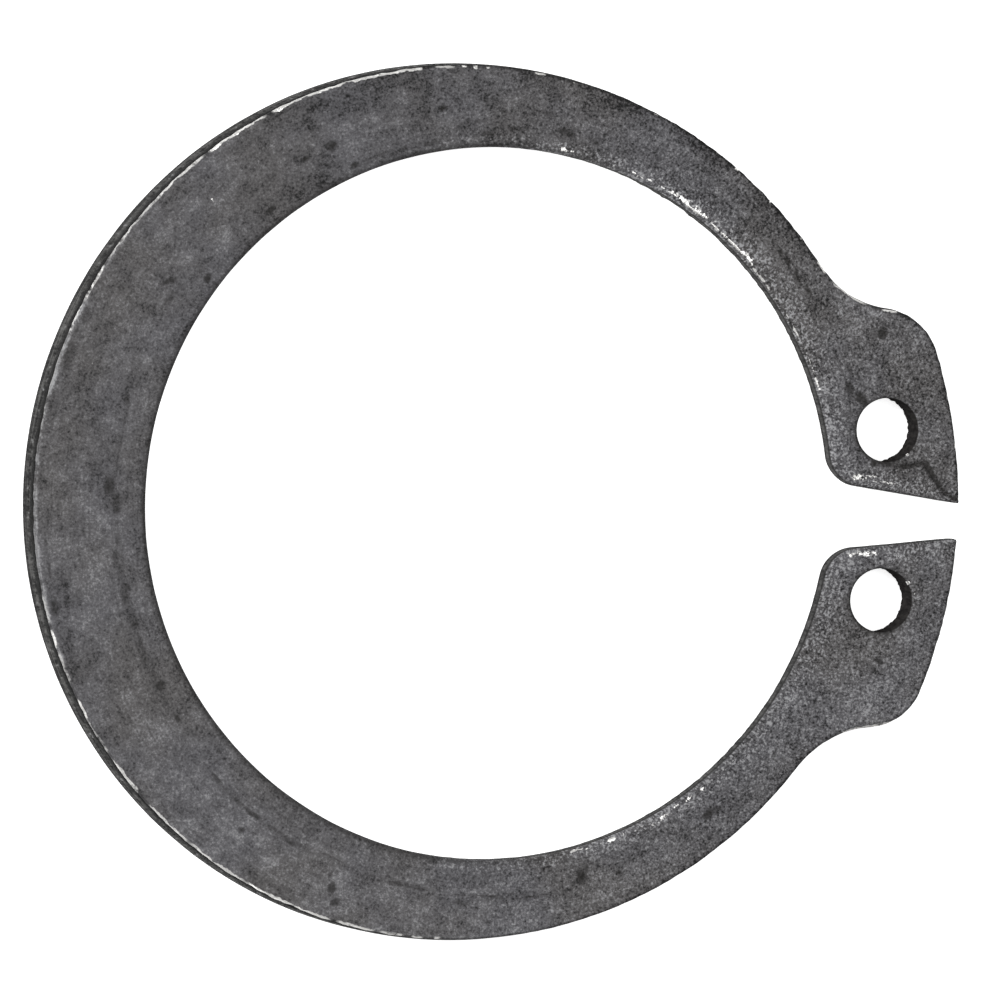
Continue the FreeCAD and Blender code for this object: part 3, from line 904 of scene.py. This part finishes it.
def fold_oil_and_shade(facet, point):
    """Oil and painted shade in the fold that starts the facet: widest and darkest where the fold
    turns.
    """
    if point.z < 0 or not facet.near(point.xy):
        return 0.0
    away, along = facet.from_fold(point.xy)
    width = np.interp(along, *FOLD_WIDTH) * MM * (1 + FOLD_RAGGED * uneven(point, *FOLD_EDGES))
    return np.interp(along, *FOLD_OIL_AND_SHADE) * (1 - smooth(away, 0.0, width))


def from_rims(rims, points):
    """Distance in millimetres from each point to the nearest rim."""
    return np.array([min(rim.distance(point.xy) for rim in rims) for point in points]) / MM


def readings(ring):
    """What the material reads at each point: its distances from the rims, below 0 on their own
    walls, and the wear, marks, painted shade and painted sheen there."""
    points = ring.mesh.points
    side = np.full(len(points), FACE)
    for row, sides in ring.walls():
        side[row] = sides
    top = [points[i].xy for i in ring.wall[-1]]
    hole_rims = [Rim([points[i].xy for i in rows[-1]]) for rows in ring.hole_walls]
    from_outer = from_rims([Rim(top[:ring.split])], points)
    from_opening = from_rims([Rim(top[ring.split:])], points)
    from_hole = from_rims(hole_rims, points)
    past_rim = np.where(side == OPENING, -from_opening, from_opening)

    turn = np.array([math.degrees(angle_of(point.xy)) for point in points])
    from_gap = np.abs(turn)
    lively_rim = np.interp(from_opening, *LIVELY_BY_RIM) * np.interp(from_gap, *LIVELY_RIM_BY_GAP)
    # Painted sheen along the bore's rolled rim, together with its real rubbing
    reach = np.interp(turn, *RUB_AND_SHEEN_REACH_BY_TURN)
    rub_and_sheen_part = np.clip((reach - from_opening) / (reach - RUB_AND_SHEEN_FULL), 0.0, 1.0)
    dulled = np.interp(from_opening, *DULL_BY_RIM) * np.interp(from_gap, *DULL_BY_GAP)
    # Painted shade: round the plier holes' rolled edges, along the rim at the back of the bore, and
    # on the opening's wall by the lower arm
    hole_shades = [max(hole_painted_shade(point, hole) for hole in HOLES) for point in points]
    rim_painted_shade = np.interp(past_rim, *SHADE_BY_RIM) * np.interp(from_gap, *SHADE_BY_GAP)
    bore_painted_shade = np.where(side == OPENING, np.interp(turn, *BORE_SHADE_BY_TURN), 0.0)
    fold_shades_and_oil = [fold_oil_and_shade(ring.facet, point) for point in points]

    marks = Marks(points)
    return {
        "from_outer": np.where(side == OUTER, -from_outer, from_outer),
        "from_opening": past_rim,
        "from_hole": np.where(side == HOLE, -from_hole, from_hole),
        "lively": np.maximum(np.interp(from_gap, *LIVELY_BY_GAP), lively_rim),
        "rub_and_sheen": rub_and_sheen_part * np.interp(turn, *RUB_AND_SHEEN_BY_TURN),
        "rim_painted_shade": np.maximum(np.maximum(hole_shades, rim_painted_shade), bore_painted_shade),
        "smudge_and_fold_shade": np.maximum(marks.spots(SMUDGES), fold_shades_and_oil),
        "streak": marks.streaks(STREAKS),
        "dimple": marks.spots(DIMPLES),
        "pale": marks.spots(PALE) - marks.spots(DULL) - dulled,
        "outer_worn": marks.stretches(OUTER_WEAR),
        "rim_pale": marks.stretches(RIM_PALE),
        "bore_worn": marks.spots(BORE_WEAR)}


SHARP_FROM = math.radians(50)     # where faces meet at this angle or more, the edge is shaded sharp


def ring_object(ring):
    """The mesh object, with what its material reads stored at its points."""
    mesh = bpy.data.meshes.new("retaining_ring_detail")
    mesh.from_pydata(roughened(ring), [], ring.mesh.faces)
    mesh.shade_smooth()
    mesh.set_sharp_from_angle(angle=SHARP_FROM)
    for name, values in readings(ring).items():
        attribute = mesh.attributes.new(name, "FLOAT", "POINT")
        attribute.data.foreach_set("value", values)
    piece = bpy.data.objects.new("retaining_ring_detail", mesh)
    bpy.context.scene.collection.objects.link(piece)
    return piece


class Socket:
    """One output of a shader's node; Python's operators on it add Math nodes."""

    def __init__(self, graph, output):
        self.graph = graph
        self.output = output

    def math(self, operation, first, second=None):
        inputs = {0: first} if second is None else {0: first, 1: second}
        return self.graph.add("ShaderNodeMath", {"operation": operation}, inputs)

    def __add__(self, other):
        return self.math("ADD", self, other)

    def __radd__(self, other):
        return self.math("ADD", other, self)

    def __sub__(self, other):
        return self.math("SUBTRACT", self, other)

    def __rsub__(self, other):
        return self.math("SUBTRACT", other, self)

    def __mul__(self, other):
        return self.math("MULTIPLY", self, other)

    def __truediv__(self, other):
        return self.math("DIVIDE", self, other)

    def sibling(self, name):
        """Another output of the same node."""
        return Socket(self.graph, self.output.node.outputs[name])

    def size(self):
        """The value without its sign."""
        return self.math("ABSOLUTE", self)

    def at_least(self, other):
        return self.math("MAXIMUM", self, other)

    def at_most(self, other):
        return self.math("MINIMUM", self, other)

    def fade(self, low, high):
        """0 at low, 1 at high, smooth between; low may be the larger."""
        return self.graph.add(
            "ShaderNodeMapRange", {"interpolation_type": "SMOOTHSTEP"},
            {"Value": self, "From Min": low, "From Max": high})


class Graph:
    """A material's nodes, added by one method."""

    def __init__(self, name):
        self.material = bpy.data.materials.new(name)
        self.material.use_nodes = True
        self.tree = self.material.node_tree
        self.tree.nodes.clear()

    def add(self, kind, settings=None, inputs=None, output=0):
        """A node of a type, with its settings made first and its sockets filled or linked."""
        node = self.tree.nodes.new(kind)
        for name, value in (settings or {}).items():
            setattr(node, name, value)
        for name, value in (inputs or {}).items():
            socket = node.inputs[name]
            if isinstance(value, Socket):
                self.tree.links.new(value.output, socket)
            elif socket.type == "RGBA":
                socket.default_value = (*value, 1.0)
            else:
                socket.default_value = value
        return Socket(self, node.outputs[output])

    def finish(self, shader):
        """Ends the graph: the shader is the surface."""
        node = self.tree.nodes.new("ShaderNodeOutputMaterial")
        self.tree.links.new(shader.output, node.inputs["Surface"])

    def mix(self, factor, first, second):
        """A colour between two, by a factor."""
        factor_socket, first_socket, second_socket, result = 0, 6, 7, 2
        return self.add(
            "ShaderNodeMix", {"data_type": "RGBA", "clamp_factor": True},
            {factor_socket: factor, first_socket: first, second_socket: second}, result)

    def attribute(self, name):
        return self.add("ShaderNodeAttribute", {"attribute_name": name}, output="Fac")

    def noise(self, place, size, detail=2.0, roughness=0.6, distortion=0.0):
        """Noise of 0 to 1, whose blobs have a size in the unit of its place."""
        return self.add(
            "ShaderNodeTexNoise", {"noise_dimensions": "3D"},
            {"Vector": place, "Scale": 1.0 / size, "Detail": detail,
             "Roughness": roughness, "Distortion": distortion})

    def scaled(self, place, factors):
        return self.add(
            "ShaderNodeVectorMath", {"operation": "MULTIPLY"}, {0: place, 1: factors})


# Zones of the walls, as depths below the top face in millimetres: each fades in from its first
# figure to its second, whichever is the larger
ABOVE_BURR_FOOT = (0.09, 0.05)
OUTER_WALL = (0.05, 0.09)
OPENING_WALL = (0.13, 0.24)
HOLE_WALL = (0.03, 0.09)
OUTER_BREAK = (0.85, 0.55)
OPENING_BREAK = (0.75, 1.05)
OPENING_ROLL_FOOT, OPENING_LAND_HEAD = (0.16, 0.24), (0.52, 0.34)
OPENING_BREAK_FOOT = (0.66, 0.86)
OUTER_ROLL_SHADE = (0.98, 1.32)
GROOVE_HEAD, GROOVE_FOOT = (0.04, 0.10), (0.62, 0.38)
GROOVE_SHADE = (0.50, 0.26)
BORE_RIM = (0.20, 0.12)

# The distance from its own rim, in millimetres, over which a wall begins
WALL_SIDE = (0.0, -0.02)


class PhosphatedSteel:
    """Dark phosphate coat with grain, smudges and streaks, worn to bare steel along the rims."""

    def __init__(self, finish):
        self.finish = finish
        self.graph = graph = Graph("phosphated_steel")
        self.place = graph.add("ShaderNodeTexCoord", output="Object")
        self.x = graph.add("ShaderNodeSeparateXYZ", inputs={0: self.place}, output="X")
        self.y, self.height = self.x.sibling("Y"), self.x.sibling("Z")
        self.depth = (Z_TOP - self.height) / MM
        self.from_outer = graph.attribute("from_outer")
        self.lively = graph.attribute("lively")

        # Noise at a place with its height scaled down is drawn out up the walls
        drawn = graph.scaled(self.place, (1.0, 1.0, 0.25))
        crackle = graph.noise(drawn, 2.4 * finish.grain, detail=1.0, roughness=0.5, distortion=0.8)
        self.web = (crackle - 0.5).size().fade(0.045, 0.0)
        self.grain = graph.noise(drawn, finish.grain) - 0.5
        self.flecks = graph.noise(drawn, 2.1 * finish.grain, distortion=0.3) - 0.5
        self.mottle = graph.noise(drawn, 0.42 * finish.patch) - 0.5
        self.patch = graph.noise(self.place, finish.patch, detail=3.0) - 0.5
        gritty = graph.scaled(self.place, (1.0, 1.0, 0.8))
        self.grit = graph.noise(gritty, 1.3 * finish.grain, detail=3.0, roughness=0.65) - 0.5

        self.on_outer = self.on_wall("from_outer", OUTER_WALL)
        self.on_opening = self.on_wall("from_opening", OPENING_WALL)
        self.on_hole = self.on_wall("from_hole", HOLE_WALL)
        outer_break = self.depth.fade(*OUTER_BREAK) * self.on_outer
        opening_break = self.depth.fade(*OPENING_BREAK) * self.on_opening
        self.torn_part = outer_break.at_least(opening_break)

    def on_wall(self, from_rim, zone):
        """1 on a wall from a zone of depths down, and 0 on the faces and the other walls."""
        return self.graph.attribute(from_rim).fade(*WALL_SIDE) * self.depth.fade(*zone)

    def streaky(self, across):
        """Noise that is drawn out round the ring, and fine in the one direction that is given."""
        finish = self.finish
        place = self.graph.add("ShaderNodeCombineXYZ", inputs={
            "X": self.x / finish.streak_length, "Y": self.y / finish.streak_length,
            "Z": across / finish.streak_width})
        return self.graph.noise(place, 1.0) - 0.5

    def streaks(self):
        """Faint streaks that follow the ring round its faces."""
        flat = self.graph.scaled(self.place, (1.0, 1.0, 0.0))
        radius = self.graph.add(
            "ShaderNodeVectorMath", {"operation": "LENGTH"}, {0: flat}, "Value")
        return self.streaky(radius)

    def stain_and_fold_shade(self, streaks):
        """Smudges and streaks of dried oil, and the fold's painted shade, ragged at their edges."""
        streak = self.graph.attribute("streak") * (0.75 + streaks * 2.5 + self.patch * 1.2)
        marked = self.graph.attribute("smudge_and_fold_shade").at_least(streak)
        ragged = self.flecks * 0.6 + self.mottle * 1.4 + self.patch * 0.5
        return (marked + ragged * marked.fade(0.0, 0.35)).fade(0.10, 0.98)

    def light(self, cloud, streaks, stain_and_fold_shade):
        """How light the coat is, from its pores at about -1 to its crystals at about 1."""
        graph, lively = self.graph, self.lively
        blots = graph.noise(self.place, 0.6 * self.finish.patch, roughness=0.5).fade(0.60, 0.74)
        speck = (self.grain * 0.8 + self.flecks * 0.8).fade(0.02, 0.16)
        edge_dirt = self.from_outer.fade(0.16, 0.03) * lively.fade(0.4, 0.9)
        pale_rim = (self.from_outer + self.mottle * 0.30).fade(0.20, 0.02)
        light = self.grain * (1.25 + lively * 1.78)
        light += self.flecks * (0.45 + lively * 0.74)
        light += (self.web - 0.2) * (0.10 + lively * 0.22)
        light += self.mottle * (0.68 - lively * 0.34)
        light += self.patch * (1.18 - lively * 0.32)
        light += (cloud - 0.5) * 0.55
        light += streaks * 0.5
        light -= blots * 0.16
        light += graph.attribute("pale") * 0.15
        # Painted sheen on the bore's rolled rim, with its rubbing: lighter speckles
        light += graph.attribute("rub_and_sheen") * (speck * 0.55 + 0.02)
        light -= stain_and_fold_shade * 0.35
        light -= edge_dirt * 0.22
        return light + graph.attribute("rim_pale") * pale_rim * (1.0 + self.patch * 2.0)

    def coat(self, stain_and_fold_shade, streaks):
        """Colour of the coat on the faces."""
        graph, finish = self.graph, self.finish
        cloud = graph.noise(self.place, 4.0 * MM, roughness=0.5)
        light = self.light(cloud, streaks, stain_and_fold_shade)
        burr = self.from_outer.fade(0.03, -0.01) * self.depth.fade(*ABOVE_BURR_FOOT)
        tint = graph.mix(cloud.fade(0.35, 0.65), finish.warm, finish.cool)
        coat = graph.mix(light.fade(0.02, 0.92), tint, finish.crystal)
        coat = graph.mix(light.fade(0.16, -0.82), coat, finish.pore)
        # Oil, and the painted shade in the facet's fold, in the oil colour
        coat = graph.mix(stain_and_fold_shade * 0.76, coat, finish.oil)
        # Painted shade on the rolled rims, in the oil colour
        coat = graph.mix(graph.attribute("rim_painted_shade") * 0.8, coat, finish.oil)
        return graph.mix(burr * 0.45, coat, finish.pore)

    def wall(self):
        """Colour of the walls: smooth lands, torn breaks, the groove and the burnished holes, with
        painted shade and painted dark reflection on them.
        """
        graph, finish, depth = self.graph, self.finish, self.depth
        grain, flecks, mottle, torn_part = self.grain, self.flecks, self.mottle, self.torn_part
        scoring = graph.scaled(self.place, (1.0, 1.0, 0.05))
        scored = graph.noise(scoring, 1.8 * finish.grain) - 0.5
        drag = self.streaky(self.height) * self.on_outer
        coarse = grain * 1.8 + flecks * 2.0 + mottle * 3.0
        tear = drag * 3.2 + coarse * (torn_part * 0.65 + 0.35) + scored * 1.3 + 0.5
        wall = graph.mix(tear.fade(0.0, 1.0), finish.pore, finish.torn)
        glints = (flecks + mottle * 0.6).fade(0.12, 0.24) * (0.15 + torn_part * 0.4)
        wall = graph.mix(glints, wall, finish.crystal)

        # Painted dark reflection on the smooth land below the bore's roll, and painted shade on the
        # opening's wall, darker towards its bottom
        rolled_foot = depth.fade(*OPENING_ROLL_FOOT) * depth.fade(*OPENING_LAND_HEAD)
        painted_dark_bands = rolled_foot.at_least(depth.fade(*OPENING_BREAK_FOOT)) * self.on_opening
        wall = graph.mix(painted_dark_bands * 0.85, wall, finish.pore)
        # Painted shade: the outer wall darkens towards its bottom roll, by the floor
        wall = graph.mix(depth.fade(*OUTER_ROLL_SHADE) * self.on_outer * 0.9, wall, finish.pore)

        groove = depth.fade(*GROOVE_HEAD) * depth.fade(*GROOVE_FOOT) * self.on_outer
        gritty = (self.grit * 2.6 + mottle + 0.35).fade(0.0, 1.0)
        wall = graph.mix(groove * 0.88, wall, graph.mix(gritty, finish.pore, finish.torn))
        # Painted shade and dark reflection in the groove below the burr, darkest in its upper part
        groove_shade = groove * depth.fade(*GROOVE_SHADE) * (0.95 + mottle * 1.2 + drag * 2.0)
        wall = graph.mix(groove_shade, wall, finish.pore)

        burnish = (grain + flecks).fade(-0.25, 0.3)
        hole_wall = graph.mix(burnish, finish.burnished_dark, finish.burnished)
        return graph.mix(self.on_hole, wall, hole_wall)

    def wear(self):
        """Where the coat is worn off: along the burr in ragged stretches, and in bright spots."""
        graph, depth = self.graph, self.depth
        grain, flecks, mottle, patch = self.grain, self.flecks, self.mottle, self.patch
        worn = graph.attribute("outer_worn")
        ragged = self.from_outer - (worn - 0.65) * 0.09
        ragged += flecks * 0.12
        ragged += mottle * 0.26
        ragged += patch * 0.12
        outer_wear = ragged.fade(0.042, -0.008) * depth.fade(*ABOVE_BURR_FOOT)
        outer_wear *= (worn + (flecks + mottle + patch) * 0.9).fade(0.30, 0.75)
        outer_wear *= (worn * 2.2 - 0.92).at_most(1.0).at_least(0.03)
        chips = grain * 2.2 + flecks * 2.4 + mottle * 1.2
        bore_wear = (graph.attribute("bore_worn") * (1.0 + chips)).fade(0.55, 0.95)
        return outer_wear.at_least(bore_wear * depth.fade(*BORE_RIM))

    def relief(self, stain_and_fold_shade):
        """Height of the coat and the torn grain."""
        relief = self.grain * (0.6 + self.lively * 0.8)
        relief += self.grit * self.torn_part * 2.0
        relief += self.web * 0.12
        relief += self.patch * 0.8
        relief -= stain_and_fold_shade * 0.15
        return relief - self.graph.attribute("dimple") * 1.6

    def material(self):
        """The walls and the coat on the faces, both worn through to bare steel in places."""
        graph = self.graph
        streaks = self.streaks()
        stain_and_fold_shade = self.stain_and_fold_shade(streaks)
        wear = self.wear()
        walls = self.on_outer.at_least(self.on_opening).at_least(self.on_hole)
        shade = graph.mix(walls, self.coat(stain_and_fold_shade, streaks), self.wall())
        shade = graph.mix(wear, shade, self.finish.bare)
        coat_shine = (0.22 + self.grain * 0.8) * (1.0 - self.on_hole)
        metal = (wear * 0.95).at_least(coat_shine).at_least(0.0)
        rough = 0.62 - self.grain * 0.3 - wear * 0.25 - stain_and_fold_shade * 0.08
        bump = graph.add("ShaderNodeBump", inputs={
            "Strength": 1.0, "Distance": self.finish.relief, "Height": self.relief(stain_and_fold_shade)})
        graph.finish(graph.add("ShaderNodeBsdfPrincipled", inputs={
            "Base Color": shade, "Metallic": metal, "Roughness": rough,
            "Specular IOR Level": 0.0, "Normal": bump}))
        return graph.material


def pale_floor(studio):
    """A matt white floor that glows a little, as a light table does."""
    graph = Graph("pale_floor")
    white = tuple(studio.floor)
    graph.finish(graph.add("ShaderNodeBsdfPrincipled", inputs={
        "Base Color": white, "Roughness": 0.9, "Emission Color": white,
        "Emission Strength": studio.floor_glow}))
    return graph.material


class RING_OT_build(bpy.types.Operator):
    """Build the retaining ring with its sheared edges and phosphated steel"""
    bl_idname = "ring.build"
    bl_label = "Retaining ring"

    def execute(self, context):
        scene = context.scene
        ring = RetainingRing(scene.ring_outline, scene.ring_edges, scene.ring_meshing)
        ring.build()
        piece = ring_object(ring)
        piece.data.materials.append(PhosphatedSteel(scene.ring_finish).material())
        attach(piece, "root")
        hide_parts(NODE)
        return {"FINISHED"}


def soft_light(name, place, size, watts):
    """A soft disk of light that points at the ring."""
    light = bpy.data.lights.new(name, "AREA")
    light.shape = "DISK"
    light.size = size
    light.energy = watts
    lamp = bpy.data.objects.new(name, light)
    lamp.location = place
    lamp.rotation_euler = (-Vector(place)).to_track_quat("-Z", "Y").to_euler()
    bpy.context.scene.collection.objects.link(lamp)


class RING_OT_stage(bpy.types.Operator):
    """Set up the pale floor, the soft studio lights and the camera"""
    bl_idname = "ring.stage"
    bl_label = "Studio"

    def execute(self, context):
        scene = context.scene
        studio = scene.ring_studio
        self.add_floor(scene, studio)
        self.add_lights(scene, studio)
        self.add_camera(scene, studio)
        scene.view_settings.view_transform = "Standard"
        return {"FINISHED"}

    def add_floor(self, scene, studio):
        half = 3.0
        mesh = bpy.data.meshes.new("floor")
        corners = [(x * half, y * half, Z_BOTTOM) for x, y in ((-1, -1), (1, -1), (1, 1), (-1, 1))]
        mesh.from_pydata(corners, [], [(0, 1, 2, 3)])
        floor = bpy.data.objects.new("floor", mesh)
        floor.data.materials.append(pale_floor(studio))
        scene.collection.objects.link(floor)

    def add_lights(self, scene, studio):
        world = bpy.data.worlds.new("studio")
        world.use_nodes = True
        background = world.node_tree.nodes["Background"]
        background.inputs["Color"].default_value = (1.0, 1.0, 1.0, 1.0)
        background.inputs["Strength"].default_value = studio.sky
        scene.world = world
        soft_light("key", place=(-0.75, 0.2, 0.5), size=0.6, watts=studio.key_power)
        soft_light("top", place=(0.05, 0.1, 1.1), size=0.7, watts=studio.top_power)

    def add_camera(self, scene, studio):
        """The camera leans from the ring's axis, a long lens far away as in the photograph."""
        sensor = 36.0
        lean = polar(math.sin(studio.view_tilt), studio.view_swing)
        direction = Vector((lean.x, lean.y, math.cos(studio.view_tilt)))
        aim = Vector((studio.aim_x, studio.aim_y, 0.0))
        up_hint = polar(1.0, studio.picture_up).to_3d()
        right = up_hint.cross(direction).normalized()
        up = direction.cross(right)
        data = bpy.data.cameras.new("camera")
        data.sensor_width = sensor
        data.lens = sensor * studio.view_distance / studio.picture_width
        data.clip_start = 0.05
        data.clip_end = 20.0
        camera = bpy.data.objects.new("camera", data)
        turn = Matrix((right, up, direction)).transposed().to_4x4()
        camera.matrix_world = Matrix.Translation(aim + direction * studio.view_distance) @ turn
        scene.collection.objects.link(camera)
        scene.camera = camera


class RING_PT_panel(bpy.types.Panel):
    """Lists what can be built, with its sizes, colours and lights"""
    bl_label = "Retaining ring"
    bl_idname = "RING_PT_panel"
    bl_space_type = "VIEW_3D"
    bl_region_type = "UI"
    bl_category = "Ring"

    def draw(self, context):
        for operator in (RING_OT_build, RING_OT_stage):
            self.layout.operator(operator.bl_idname)
        for group in GROUPS:
            column = self.layout.column(align=True)
            for name in GROUPS[group].__annotations__:
                column.prop(getattr(context.scene, group), name)


GROUPS = {"ring_outline": RingOutline, "ring_edges": ShearedEdges, "ring_meshing": RingMeshing,
          "ring_finish": PhosphateFinish, "ring_studio": Studio}
CLASSES = [*GROUPS.values(), RING_OT_build, RING_OT_stage, RING_PT_panel]


def register():
    for cls in CLASSES:
        bpy.utils.register_class(cls)
    for name, group in GROUPS.items():
        setattr(bpy.types.Scene, name, PointerProperty(type=group))


def unregister():
    for name in GROUPS:
        delattr(bpy.types.Scene, name)
    for cls in reversed(CLASSES):
        bpy.utils.unregister_class(cls)


def main():
    register()
    bpy.ops.ring.build()
    bpy.ops.ring.stage()


if __name__ == "__main__":
    main()
